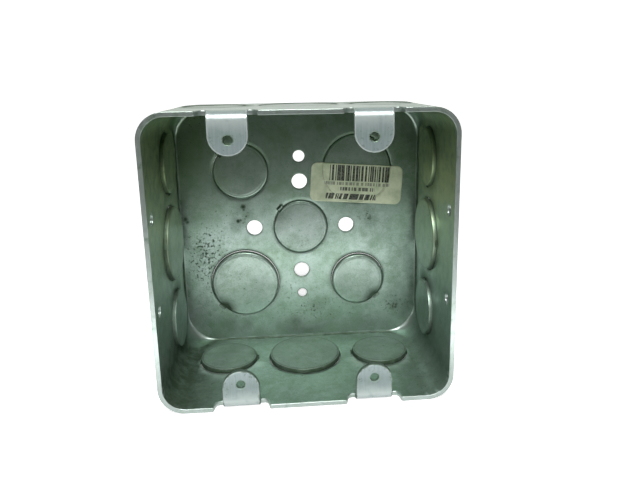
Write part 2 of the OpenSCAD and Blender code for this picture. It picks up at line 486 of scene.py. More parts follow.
for k in range(4):
    in_corner = lower_corner_dirt_and_shade[k - 2] if k > 1 else upper_corner_dirt_and_shade
    fold_skin([flat_edge(u) for u in wall_stations],
              [wall_edge(u, 0) for u in wall_stations],
              [wall_edge(u, sheet) for u in wall_stations], k, in_corner)
    fold_skin([flat_edge_turned(a) for a in corner_turns],
              [wall_edge_turned(a, 0) for a in corner_turns],
              [wall_edge_turned(a, sheet) for a in corner_turns], k, in_corner)
    for t in (0, sheet):
        rows = []
        for share in wall_shares:
            row = []
            for a in corner_turns:
                foot = sheet + fold_height(flat_edge_turned(a), wall_edge_turned(a, 0))
                z = foot + (depth - edge_r - foot) * share
                values = {"wear": 0.6 if share == 1 else 0}
                if t == 0:
                    # painted shade at the foot of the corner walls
                    foot_shade = 0.5 * max(0, 1 - share * 6)
                    values["grime"] = max(foot_shade, in_corner if k > 1 else 0)
                    values["tarnish"] = cos(a) if k % 2 == 0 else sin(a)
                at = (*quarter(k, *wall_edge_turned(a, t)), z)
                row.append(shell_vert(at, **values))
            rows.append(row)
        skin(shell, rows)
    rows = []
    for inset, t in rim_section:
        row = [(*quarter(k, *wall_edge_turned(a, t)), depth - inset) for a in corner_turns]
        rows.append([shell_vert(at, **rim_look(t)) for at in row])
    skin(shell, rows)


# The four walls, each with the tabs that its rim carries laid out flat.
def arc_points(centre, r, a0, a1, n):
    """n + 1 points along an arc."""
    return [(centre[0] + r * cos(a), centre[1] + r * sin(a)) for a in steps(a0, a1, n)]


def rounded_path(corners):
    """Points along a path whose corners, given as (x, y, radius), are rounded off."""
    path = [corners[0][:2]]
    for (ax, ay, _), (bx, by, r), (cx, cy, _) in zip(corners, corners[1:], corners[2:]):
        corner = Vector((bx, by))
        back = (Vector((ax, ay)) - corner).normalized()
        ahead = (Vector((cx, cy)) - corner).normalized()
        if r == 0:
            path.append((bx, by))
            continue
        opening = back.angle(ahead) / 2
        reach = r * cos(opening) / sin(opening)
        centre = corner + (back + ahead).normalized() * (r / sin(opening))
        start = corner + back * reach - centre
        end = corner + ahead * reach - centre
        for share in steps(0, 1, 5):
            path.append(tuple(centre + start.slerp(end, share) * r))
    path.append(corners[-1][:2])
    return path


def inset_path(path, inset):
    """The path moved inset to its right-hand side, where the metal is."""
    moved = []
    for i, p in enumerate(path):
        before = Vector(path[max(i - 1, 0)])
        after = Vector(path[min(i + 1, len(path) - 1)])
        here = Vector(p)
        a = (here - before).normalized() if i else (after - here).normalized()
        b = (after - here).normalized() if i < len(path) - 1 else a
        na, nb = Vector((a.y, -a.x)), Vector((b.y, -b.x))
        n = na + nb
        n = n / max(n.dot(na), 0.3)
        moved.append(tuple(here + n * inset))
    return moved


tab_flat = ear_hole_in + ear_reach - ear_half - ear_gauge + bend_length   # to the round tip
bend_rows = steps(0, bend_length, 7)


def tab_path(x):
    """Rim path over one notch and its tab."""
    flat = notch_floor + tab_flat
    left = [(x - notch_half_rim, depth, notch_rounds[0]),
            (x - notch_half_floor, notch_floor, notch_rounds[1]),
            (x - ear_half, notch_floor, notch_rounds[2])]
    up = [(x - ear_half, notch_floor + row, 0) for row in bend_rows[2:]]
    tip = [(*p, 0) for p in arc_points((x, flat), ear_half, pi, 0, 22)]
    right = [(2 * x - px, py, r) for px, py, r in reversed(left + up)]
    return left + up + tip + right


def spread(path, gap):
    """Puts more points into the long straight runs of a path."""
    out = [path[0]]
    for a, b in zip(path, path[1:]):
        n = max(1, int(hypot(b[0] - a[0], b[1] - a[1]) / gap))
        out += [(a[0] + (b[0] - a[0]) * i / n, a[1] + (b[1] - a[1]) * i / n)
                for i in range(1, n + 1)]
    return out


def beside_ear(u, margin):
    return abs(abs(u) - ear_x) < ear_half + margin


def on_wall(k, has_ears):
    """Where a point of wall k ends up once its tabs are bent in."""
    def place(u, v, t):
        bent = v - notch_floor
        if has_ears and bent > 0 and beside_ear(u, 0.6):
            turn = min(bent / bend_length, 1) * pi / 2
            r = bend_r + t
            inward = ear_gauge - r * cos(turn) + max(0, bent - bend_length)
            height = notch_floor + r * sin(turn)
            return (*quarter(k, half - inward, u), height)
        return (*quarter(k, half - sheet + t, u), v)
    return place


rim_pitch = 1.6                       # of the points along the rim
foot_lines = (0.8, 2.2)               # lines of points above the fold
rim_line = 0.55                       # and one inside the rim and the tabs' edges
large_hole = 5                        # every knockout's radius is above it
foot_shades = (0.6, 0.6, 0.6, 0.15)     # painted shade above the fold, wall by wall
wall_darkening = (0, 0, 0, 0.3)            # and darker over the whole wall, as painted shade and dust
for k in range(4):
    has_ears = k % 2 == 1
    rim = [(-corner_at, depth, 0)]
    if has_ears:
        rim += tab_path(-ear_x) + tab_path(ear_x)
    rim += [(corner_at, depth, 0)]
    rim = spread(rounded_path(rim), rim_pitch)
    place = on_wall(k, has_ears)
    holes = []
    for name, mount in mounts.items():
        x, y, z = lying(mount["pos_m"])
        along_x, along_y = quarter(4 - k, x, y)
        if name.startswith("conduit_") and "back" not in name and along_x > half - 1:
            dish = dish_wide if abs(along_y) < 1 else dish_narrow
            holes.append((along_y, z, mount["dims"]["r_mm"], dish))
        if name.startswith("nail_holes") and along_x > half - 1:
            apart = mount["dims"]["spacing_y_mm"] / 2
            holes += [(side * apart, z, mount["dims"]["hole_r_mm"], 0) for side in (-1, 1)]
    if has_ears:
        hole_v = notch_floor + bend_length + ear_hole_in - ear_gauge
        holes += [(side * ear_x, hole_v, ears["hole_r_mm"], 0) for side in (-1, 1)]
    half_way_up = max(v for _, v, r, _ in holes if r > large_hole)
    feet = [sheet + fold_height(flat_edge(u), wall_edge(u, 0)) for u in wall_stations]
    foot_row = list(zip(wall_stations, feet))
    end_foot = feet[0]
    ladder = [end_foot + (depth - edge_r - end_foot) * share for share in wall_shares]
    inner_rim = inset_path(rim, edge_r)
    outline = foot_row + [(corner_at, v) for v in ladder[1:-1]]
    outline += list(reversed(inner_rim)) + [(-corner_at, v) for v in reversed(ladder[1:-1])]
    lines = [[(u, v + up) for u, v in foot_row[1:-1]] for up in foot_lines]
    lines.append(inset_path(rim, rim_line)[1:-1])
    if has_ears:
        for side in (-1, 1):
            for row in bend_rows[1:]:
                reach = ear_half - rim_line
                across = steps(side * ear_x - reach, side * ear_x + reach, 8)
                lines.append([(u, notch_floor + row) for u in across[1:-1]])

    def lit_side(p):
        """The side of a knockout of the bottom wall that faces the opening."""
        return k == 3 and p[1] > half_way_up + 3

    def look(p, t, holes):
        """States of the wall. The tabs are clean, and show their outer face once bent, with a
        painted highlight over the bend and painted shade round the hole.
        """
        values = ring_look(p, holes)
        near_rim = min(hypot(p[0] - q[0], p[1] - q[1]) for q in inner_rim)
        values["wear"] = 0.6 * max(0, 1 - near_rim / 0.35)
        if has_ears and p[1] > notch_floor and beside_ear(p[0], 0.4):
            values["clean"] = min(1, (p[1] - notch_floor) / 1.5)
            values["soiled"] = max(0, 1.5 - near_rim)
            if t > 0:
                # painted shade round the ear's hole, and a painted highlight over its bend
                values["grime"] = 0.3 * fading(((p[1] - hole_v + 1.5) / 3.2) ** 2)
                bend_highlight = 1.2 - abs(p[1] - notch_floor - bend_length) / 2.6
                values["wear"] = max(values["wear"], min(1, bend_highlight))
        if t == 0:
            from_foot = p[1] - sheet - fold_r
            values["grime"] = max(values["grime"], foot_shades[k] * max(0, 1 - from_foot / 2),
                                  corner_dirt_and_shade_at(k, p[0]), wall_darkening[k])
            values["tarnish"] = 1.0 - k % 2
            gap, dish = off_hole(p, holes)
            # round a bottom knockout's hole, a painted highlight on the side that faces the opening
            if k == 3 and dish and gap < 0.7:
                values["grime"] = 0.1 if lit_side(p) else values["grime"] * 0.5
                values["wear"] = 1.0 if lit_side(p) else 0.0
        return values

    flat_skin(outline, holes, lines, place, look)
    # painted shade on the far side of the bottom wall's knockout holes
    hole_edges([h for h in holes if h[2] > large_hole], place,
               lambda p: 0.25 if lit_side(p) else 1)
    # the side walls' nail holes get a painted glint on their cut edge
    hole_edges([h for h in holes if h[2] <= large_hole], place, lambda p: has_ears)
    rows = []
    for inset, t in rim_section:
        row = []
        for u, v in inset_path(rim, inset):
            # the tabs' cut edges: painted shade on the bottom ears, a painted highlight on the top
            # ears
            if not (has_ears and v > notch_floor + 0.3 and beside_ear(u, 0.3)):
                values = rim_look(t)
            elif k == 3:
                values = {"grime": 0.8, "clean": 0.5}
            else:
                values = {"wear": 1.0, "clean": 1.0}
            row.append(shell_vert(place(u, v, t), **values))
        rows.append(row)
    skin(shell, rows)

weld = 0.002
bmesh.ops.remove_doubles(shell, verts=shell.verts, dist=weld * mm)
bmesh.ops.recalc_face_normals(shell, faces=shell.faces)

# Slight waves of a drawn and handled sheet, kept inside the CAD model's box. The sheet is
# crumpled where it was drawn round the corners of the back.
wave_high, wave_long = 0.07, 16
crumple_high, crumple_long = 0.16, 3.2
crumpled_from = 34                    # from the back's middle, across and up
crumpled_below = 14                   # above the back


def rising(value, run):
    """0 up to nothing, and 1 from run on."""
    return max(0, min(1, value / run))


noise.seed_set(7)                     # the same waves at each run
for v in shell.verts:
    moved = v.co + noise.noise_vector(v.co / (wave_long * mm)) * (wave_high * mm)
    x, y, z = lying(v.co)
    crumpled = rising(abs(x) - crumpled_from, 5) * rising(abs(y) - crumpled_from, 5)
    crumpled *= rising(crumpled_below - z, 8)
    moved += noise.noise_vector(v.co / (crumple_long * mm)) * crumpled * crumple_high * mm
    for i in range(3):
        v.co[i] = min(max(moved[i], cad_box[0][i]), cad_box[1][i])
for face in shell.faces:
    face.smooth = True
shell_mesh = bpy.data.meshes.new("drawn_shell")
shell.to_mesh(shell_mesh)
shell.free()
shell_piece = bpy.data.objects.new("drawn_shell", shell_mesh)
scene.collection.objects.link(shell_piece)
weighted = shell_piece.modifiers.new("weighted normals", "WEIGHTED_NORMAL")
weighted.keep_sharp = True
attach(shell_piece, "box")
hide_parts("box_shell")

# Zinc on steel: a mottled grey-green skin with faint spangle, pinpricks of dirt and dull
# stains. Folds and sheared gaps hold grime and painted shade, handled edges are rubbed bright
# and carry painted highlights, the upper half is painted a darker olive as shade, and the ears
# are cleaner than the rest.
shell_tones = (0.135, 0.222, 0.142, 1), (0.45, 0.55, 0.535, 1)
green_cast = (0.16, 0.3, 0.16, 1)
# olive for stains, and for painted shade over the upper half
olive_stain_and_shade = (0.1, 0.175, 0.075, 1)
yellow_tarnish = (0.37, 0.46, 0.25, 1)
clean_tones = (0.21, 0.27, 0.265, 1), (0.29, 0.35, 0.35, 1)
speck_black = (0.035, 0.055, 0.028, 1)
# rubbed zinc, also painted as highlights; grime black, also painted as shade
rubbed_zinc_and_highlight = (0.47, 0.53, 0.51, 1)
grime_and_shade_black = (0.02, 0.044, 0.016, 1)
brushed = (1.6, 0.12, 0.12)           # scratches run along the ears, away from the wall


def add_node(tree, kind, inputs=(), **settings):
    """A shader node with its settings and the values of its unlinked sockets."""
    made = tree.nodes.new(kind)
    for key, value in settings.items():
        setattr(made, key, value)
    for key, value in dict(inputs).items():
        if isinstance(value, bpy.types.NodeSocket):
            tree.links.new(value, made.inputs[key])
        else:
            made.inputs[key].default_value = value
    return made


def math_node(tree, operation, *values, clamp=False):
    return add_node(tree, "ShaderNodeMath", dict(enumerate(values)), operation=operation,
                    use_clamp=clamp).outputs[0]


def blend_colour(tree, share, a, b):
    """Colour a, or b where share is 1."""
    made = add_node(tree, "ShaderNodeMix", data_type="RGBA")
    for index, value in ((0, share), (6, a), (7, b)):
        if isinstance(value, bpy.types.NodeSocket):
            tree.links.new(value, made.inputs[index])
        else:
            made.inputs[index].default_value = value
    return made.outputs[2]


def between(tree, value, low, high):
    """0 below low, 1 above high and a smooth step between."""
    made = add_node(tree, "ShaderNodeMapRange", {"Value": value, "From Min": low, "From Max": high},
                    interpolation_type="SMOOTHSTEP")
    return made.outputs["Result"]


def noise_of(tree, place, scale, detail=3.0, roughness=0.5, distortion=0.0):
    made = add_node(tree, "ShaderNodeTexNoise",
                    {"Vector": place, "Scale": scale, "Detail": detail, "Roughness": roughness,
                     "Distortion": distortion})
    return made.outputs["Fac"]


def in_millimetres(tree):
    """The place on the object, in millimetres."""
    place = add_node(tree, "ShaderNodeTexCoord").outputs["Object"]
    return add_node(tree, "ShaderNodeVectorMath", {0: place, "Scale": 1 / mm},
                    operation="SCALE").outputs[0]


def new_group(name, ins, outs):
    """An empty node group with its sockets, and its input and output nodes."""
    tree = bpy.data.node_groups.new(name, "ShaderNodeTree")
    for label, kind in ins:
        tree.interface.new_socket(label, in_out="INPUT", socket_type=kind)
    for label, kind in outs:
        tree.interface.new_socket(label, in_out="OUTPUT", socket_type=kind)
    return tree, tree.nodes.new("NodeGroupInput"), tree.nodes.new("NodeGroupOutput")


COLOUR, NUMBER = "NodeSocketColor", "NodeSocketFloat"
zinc, zinc_in, zinc_out = new_group(
    "zinc_skin",
    [("Dark", COLOUR), ("Light", COLOUR), ("Grime", NUMBER), ("Wear", NUMBER),
     ("Clean", NUMBER), ("Soiled", NUMBER), ("Tarnish", NUMBER)],
    [("Color", COLOUR), ("Metal", NUMBER), ("Roughness", NUMBER), ("Height", NUMBER)])
place = in_millimetres(zinc)
cloud = noise_of(zinc, place, 0.055, 4, 0.6, 0.4)
blotch = noise_of(zinc, place, 0.3, 3, 0.55)
grain = noise_of(zinc, place, 2.2, 2, 0.6)
spangle = add_node(zinc, "ShaderNodeTexVoronoi", {"Vector": place, "Scale": 0.55})
flake = add_node(zinc, "ShaderNodeSeparateColor", {"Color": spangle.outputs["Color"]}).outputs[0]
tone = math_node(zinc, "MULTIPLY", cloud, 0.45)
tone = math_node(zinc, "MULTIPLY_ADD", blotch, 0.25, tone)
tone = math_node(zinc, "MULTIPLY_ADD", flake, 0.07, tone)
tone = math_node(zinc, "MULTIPLY_ADD", grain, 0.3, tone)
tone = between(zinc, tone, 0.21, 0.84)
skin_colour = blend_colour(zinc, tone, zinc_in.outputs["Dark"], zinc_in.outputs["Light"])
# dirt in pinpricks, where the sheet was handled most
speck_field = math_node(zinc, "MULTIPLY_ADD", zinc_in.outputs["Soiled"], 0.085,
                        noise_of(zinc, place, 0.95, 3, 0.6))
specks = between(zinc, speck_field, 0.63, 0.8)
not_clean = math_node(zinc, "MULTIPLY_ADD", zinc_in.outputs["Clean"], -0.3, 1)
specks = math_node(zinc, "MULTIPLY", specks, not_clean, clamp=True)
# the cast of the zinc drifts between green and blue
cast = between(zinc, noise_of(zinc, place, 0.05, 3, 0.5), 0.35, 0.65)
skin_colour = blend_colour(zinc, math_node(zinc, "MULTIPLY", cast, 0.22), skin_colour,
                           green_cast)
# dull olive stains, and painted olive shade over the upper half and the upper left, browner
# on the side walls
stain = between(zinc, noise_of(zinc, place, 0.045, 5, 0.65, 0.8), 0.52, 0.75)
axes = add_node(zinc, "ShaderNodeSeparateXYZ", {"Vector": place}).outputs
height = axes["Z"]
stain_and_shade = math_node(zinc, "MULTIPLY", between(zinc, height, 45, 90), 0.45)
stain_and_shade = math_node(zinc, "MULTIPLY_ADD", stain, 0.3, stain_and_shade)
to_left = math_node(zinc, "MULTIPLY", axes["X"], -1)
upper_left_shade = math_node(zinc, "MULTIPLY", between(zinc, to_left, 20, 46),
                      between(zinc, height, 45, 80))
stain_and_shade = math_node(zinc, "MULTIPLY_ADD", upper_left_shade, 0.3, stain_and_shade, clamp=True)
skin_colour = blend_colour(zinc, stain_and_shade, skin_colour, olive_stain_and_shade)
side_film = math_node(zinc, "MULTIPLY", zinc_in.outputs["Tarnish"],
                      between(zinc, height, 20, 85))
patchy = math_node(zinc, "MULTIPLY_ADD", between(zinc, blotch, 0.35, 0.6), 0.55, 0.4)
side_film = math_node(zinc, "MULTIPLY", side_film, patchy)
skin_colour = blend_colour(zinc, side_film, skin_colour, yellow_tarnish)
# clean zinc, brushed along the ears
stretched = add_node(zinc, "ShaderNodeVectorMath", {0: place, 1: brushed},
                     operation="MULTIPLY").outputs[0]
scratches = noise_of(zinc, stretched, 1.0, 3, 0.6)
bright = blend_colour(zinc, between(zinc, scratches, 0.15, 0.9), *clean_tones)
skin_colour = blend_colour(zinc, zinc_in.outputs["Clean"], skin_colour, bright)
skin_colour = blend_colour(zinc, math_node(zinc, "MULTIPLY", specks, 0.7), skin_colour,
                           speck_black)
# rubbed edges, and painted highlights
rub_and_highlight = math_node(zinc, "MULTIPLY", zinc_in.outputs["Wear"], between(zinc, blotch, 0.2, 0.5))
skin_colour = blend_colour(zinc, math_node(zinc, "MULTIPLY", rub_and_highlight, 0.75), skin_colour,
                           rubbed_zinc_and_highlight)
# grime, and painted shade in folds, gaps and corners
uneven_dirt_and_shade = math_node(zinc, "MULTIPLY_ADD", blotch, 0.9, 0.5)
dirt = math_node(zinc, "MULTIPLY", zinc_in.outputs["Grime"], uneven_dirt_and_shade, clamp=True)
skin_colour = blend_colour(zinc, math_node(zinc, "MULTIPLY", dirt, 0.92), skin_colour,
                           grime_and_shade_black)
dull = math_node(zinc, "MULTIPLY_ADD", tone, -0.1, 0.38)
dull = math_node(zinc, "MULTIPLY_ADD", dirt, 0.4, dull)
dull = math_node(zinc, "MULTIPLY_ADD", specks, 0.3, dull)
metal = math_node(zinc, "MULTIPLY_ADD", zinc_in.outputs["Clean"], -0.4, 0.9)
metal = math_node(zinc, "MULTIPLY_ADD", dirt, -0.25, metal, clamp=True)
relief = math_node(zinc, "MULTIPLY_ADD", grain, 0.35, math_node(zinc, "MULTIPLY", blotch, 0.5))
relief = math_node(zinc, "MULTIPLY_ADD", specks, -0.6, relief)
for socket, value in (("Color", skin_colour), ("Metal", metal), ("Roughness", dull),
                      ("Height", relief)):
    zinc.links.new(value, zinc_out.inputs[socket])


def zinc_material(name, dark, light):
    """Galvanised steel whose mesh says what state the zinc is in, and where shade and highlights
    are painted.
    """
    made = bpy.data.materials.new(name)
    made.use_nodes = True
    tree = made.node_tree
    shader = tree.nodes["Principled BSDF"]
    skin_group = add_node(tree, "ShaderNodeGroup", node_tree=zinc)
    skin_group.inputs["Dark"].default_value = dark
    skin_group.inputs["Light"].default_value = light
    for state in states:
        value = add_node(tree, "ShaderNodeAttribute", attribute_name=state)
        tree.links.new(value.outputs["Fac"], skin_group.inputs[state.capitalize()])
    bump = add_node(tree, "ShaderNodeBump", {"Height": skin_group.outputs["Height"],
                                             "Strength": 0.5, "Distance": 0.00012})
    tree.links.new(skin_group.outputs["Color"], shader.inputs["Base Color"])
    tree.links.new(skin_group.outputs["Metal"], shader.inputs["Metallic"])
    tree.links.new(skin_group.outputs["Roughness"], shader.inputs["Roughness"])
    tree.links.new(bump.outputs["Normal"], shader.inputs["Normal"])
    return made


shell_mesh.materials.append(zinc_material("galvanised_shell", *shell_tones))

# ---- the knockouts ----
# Each is a disc of the same sheet, sheared all round but for one narrow tie and knocked part of
# the way in, so it stands a little proud of the inner face. The punch rolled its edge over,
# the sheared side holds grime and painted shade, and the metal beside the tie is drawn down to
# the sheet, with painted shade in that dip.
joint_of = {j["child"]: j for j in frame["record"]["behaviour"]["joints"]}
# How far a disc stands in and its tilt; the gap round it at the top of its sheared side; how
# wide and how deep its edge is rolled over; dirt and painted shade on its side, and dust and
# painted shade on its face.
Disc = namedtuple("Disc", "push tilt gap roll_wide roll_deep side_dirt dust")
# the left wall's discs have more painted shade on their sheared sides than the right wall's
left_disc = Disc(1.45, 0.7, 0.2, 0.35, 0.16, 0.8, 0.0)
right_disc = Disc(1.45, 0.7, 0.16, 0.24, 0.12, 0.35, 0.0)
# the bottom wall's discs are painted darker all over, as shade and dust
low_disc = Disc(1.45, 0.7, 0.2, 0.4, 0.2, 0.8, 0.48)
flush_disc = Disc(0.2, 0, 0.12, 0.8, 0.2, 0.5, 0.0)
disc_looks = {"back_centre": Disc(0.6, 1.5, 0.14, 1.0, 0.3, 0.8, 0.0),
              "back_upper_left": Disc(0.1, 0.7, 0.08, 0.9, 0.26, 1.0, 0.0),
              "back_upper_right": Disc(0.3, 0, 0.14, 1.0, 0.3, 1.0, 0.0),
              "back_lower_left": Disc(1.25, 1.5, 0.36, 1.1, 0.34, 1.0, 0.0),
              "back_lower_right": Disc(1.25, 1.5, 0.34, 1.1, 0.34, 1.0, 0.0),
              "top_left": flush_disc, "top_middle": flush_disc, "top_right": flush_disc,
              "bottom_left": low_disc, "bottom_middle": low_disc, "bottom_right": low_disc}
disc_tones = (0.16, 0.24, 0.165, 1), (0.48, 0.57, 0.56, 1)
disc_sides = 96
disc_wave_high, disc_wave_long = 0.07, 7
tie_wide = 3
tie_out, tie_up = 0.5, 0.5            # its bend line, out from the hole's edge and up
tie_shares = (-1, -0.92, -0.72, -0.35, 0, 0.35, 0.72, 0.92, 1)
tie_drift = 1.2                       # the dip and the painted shade beside a tie lie this far down from it


def disc_section(r, look):
    """Half-section of a disc from the middle of its face, over the edge, to below it: how
    far out, how high, and how much grime and painted shade."""
    push, _, gap, roll_wide, roll_deep, side_dirt_and_shade, _ = look
    edge = r - gap
    section = [(r * share, push, 0.0) for share in (0, 0.2, 0.4, 0.6, 0.74)]
    section += [(edge - roll_wide - 0.7, push, 0.0), (edge - roll_wide - 0.35, push, 0.1),
                (edge - roll_wide - 0.15, push - 0.05, 0.35), (edge - roll_wide, push - 0.02, 0.1)]
    for share in (0.3, 0.55, 0.75, 0.9, 1):
        drop = roll_deep * share ** 2.5
        section.append((edge - roll_wide * (1 - share), push - drop, 0.35 * share ** 3))
    low = push - 2 if push > 1 else push - sheet
    section += [(edge + gap * 0.1, push - roll_deep - 0.1, 0.55 * side_dirt_and_shade),
                (edge + gap * 0.4, push - 0.55, side_dirt_and_shade),
                (edge + gap * 0.8, low + 0.15, 0.6), (edge + gap * 0.2, low, 0.25)]
    section += [(r * share, low, 0.1) for share in (0.8, 0.4, 0)]
    return section


def knockout_mesh(name, r, look, shade, drift, seed):
    """Disc and tie in the knockout's own frame: x to the tie, z into the box, millimetres."""
    push = look.push
    deep_in_wall = push > 1.4
    deep_in_back = 1 < push < 1.4
    disc = bmesh.new()
    state_of = {name: disc.verts.layers.float.new(name) for name in states}
    rows = []
    for out, z, dirt in disc_section(r, look):
        row = []
        for i in range(disc_sides):
            a = 2 * pi * i / disc_sides
            x, y = out * cos(a), out * sin(a)
            drawn = 0.15 if deep_in_wall else max(0, push - 0.3) * 0.85
            from_tie = ((r - x) / 2.6) ** 2 + ((y - drift) / 3.2) ** 2
            fall = drawn * fading(from_tie)
            wave = disc_wave_high * noise.noise(Vector((x / disc_wave_long, y / disc_wave_long,
                                                        seed)))
            v = disc.verts.new((x, y, z - fall + wave))
            # painted shade in the dip beside the tie
            tie_dip_shade = 1.5 * fading(from_tie * 0.75) if deep_in_back else 0
            v[state_of["grime"]] = min(1, dirt * shade(a) + look.dust + tie_dip_shade)
            v[state_of["soiled"]] = 0.1
            if look in (left_disc, right_disc) and z > push - 0.6:
                v[state_of["tarnish"]] = 1.0
            row.append(v)
        rows.append(row + row[:1])
    skin(disc, rows)
    # the tie: a bead on the bend line, and the strip that runs from it under the disc; the strip
    # is painted with shade, and so is the bead of a disc knocked well in
    rows = []
    bend_x, bend_z = r + tie_out, tie_up
    bead = 0.2 if deep_in_wall else 0.8 if push < 1 else 0.42
    top = 0.0 if deep_in_wall else 0.3
    tie_strip_shade = 0.95 if deep_in_wall else 0.45 if push > 1 else 0.0
    outline = [(bend_x - 0.1, bend_z + bead), (bend_x + 0.22, bend_z + bead * 0.85),
               (bend_x + bead, bend_z), (bend_x + 0.22, bend_z - bead * 0.85),
               (bend_x - 0.1, bend_z - bead), (r - 0.4, 0.0), (r - 1.6, -0.3),
               (r - 1.6, top * 0.6), (r - 0.8, top), (r - 0.2, top + 0.12)]
    for share in tie_shares:
        swell = (1 - abs(share) ** 3) ** 0.5 if abs(share) < 1 else 0.25
        row = []
        for x, z in outline:
            swollen = bend_z * 0.7 + (z - bend_z * 0.7) * max(0.3, swell)
            row.append(disc.verts.new((x, share * tie_wide / 2, swollen)))
            row[-1][state_of["grime"]] = 0.95 if x < r else tie_strip_shade
        rows.append(row + row[:1])
    skin(disc, rows)
    disc.faces.new(rows[0][:-1])
    disc.faces.new(rows[-1][:-1])
    bmesh.ops.remove_doubles(disc, verts=disc.verts, dist=0.001)
    bmesh.ops.recalc_face_normals(disc, faces=disc.faces)
    for face in disc.faces:
        face.smooth = True
    bend = Vector((bend_x, 0, bend_z))
    disc.transform(Matrix.Translation(bend) @ Matrix.Rotation(radians(look.tilt), 4, "Y")
                   @ Matrix.Translation(-bend))
    made = bpy.data.meshes.new(name)
    disc.to_mesh(made)
    disc.free()
    return made


disc_skin = zinc_material("galvanised_disc", *disc_tones)
for seed, name in enumerate(sorted(n for n in mounts if n.startswith("conduit_"))):
    spot = name.removeprefix("conduit_")
    joint = joint_of["disc_" + spot]
    r = mounts[name]["dims"]["r_mm"]
    inward = -Vector(mounts[name]["axis"])
    origin = Vector(mounts[name]["pos_m"]) + inward * sheet * mm
    to_tie = Vector(joint["pos_m"]) - origin
    to_tie = (to_tie - inward * to_tie.dot(inward)).normalized()
    lying_x, lying_y, _ = lying(origin)
    tie_turn = atan2(to_tie.z, to_tie.x)

    def shade(a):
        on_edge = lying_x + r * cos(tie_turn + a), lying_y + r * sin(tie_turn + a)
        return ring_shade(on_edge) if spot.startswith("back") else 1

    look = disc_looks.get(spot, left_disc if spot.startswith("left") else right_disc)
    downhill = inward.cross(to_tie).z < 0
    made = knockout_mesh("disc_" + spot + "_sheared", r, look, shade,
                         tie_drift if downhill else -tie_drift, seed * 3.7)
    axes = Matrix((to_tie, inward.cross(to_tie), inward)).transposed().to_4x4()
    made.transform(Matrix.Translation(origin) @ axes @ Matrix.Scale(mm, 4))
    made.materials.append(disc_skin)
    piece = bpy.data.objects.new("knockout_" + spot + "_sheared", made)
    scene.collection.objects.link(piece)
    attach(piece, "disc_" + spot)
    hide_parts("knockout_" + spot)


# ---- the paper label ----
# A rectangle of thin paper with round corners, glued a little crooked over the upper right
# knockout and the sheet round it. It was cut round the knockout as that was knocked, so it
# is one piece on the back and one on the disc. Its print is plain bars and dashes.
label_x, label_y = 23.6, 17.4
label_wide, label_high = 38, 16.2
label_corner = 2.6
label_turn = radians(-4.3)
label_thick = 0.12
label_pitch = 1.5                     # of the points that fill it
label_wave = 0.05
cut_mount = mounts["conduit_back_upper_right"]
cut_x, cut_y, _ = lying(cut_mount["pos_m"])
cut_r = cut_mount["dims"]["r_mm"]
cut_gap = 0.04
cut_sides = 240
disc_face = disc_looks["back_upper_right"].push
paper_tones = (0.8, 0.86, 0.64, 1), (0.56, 0.64, 0.43, 1)
ink_colour = (0.02, 0.025, 0.022, 1)
torn_dirt = (0.06, 0.07, 0.04, 1)


def label_outline(inset):
    """The label's rounded rectangle, in the lying box."""
    wide, high, r = label_wide / 2 - inset, label_high / 2 - inset, label_corner - inset
    loop = []
    for cx, cy, start in ((wide - r, high - r, 0), (r - wide, high - r, 1),
                          (r - wide, r - high, 2), (wide - r, r - high, 3)):
        loop += arc_points((cx, cy), r, start * pi / 2, (start + 1) * pi / 2, 8)
    loop = spread(loop + loop[:1], 1.2)[:-1]
    c, s = cos(label_turn), sin(label_turn)
    return [(label_x + x * c - y * s, label_y + x * s + y * c) for x, y in loop]


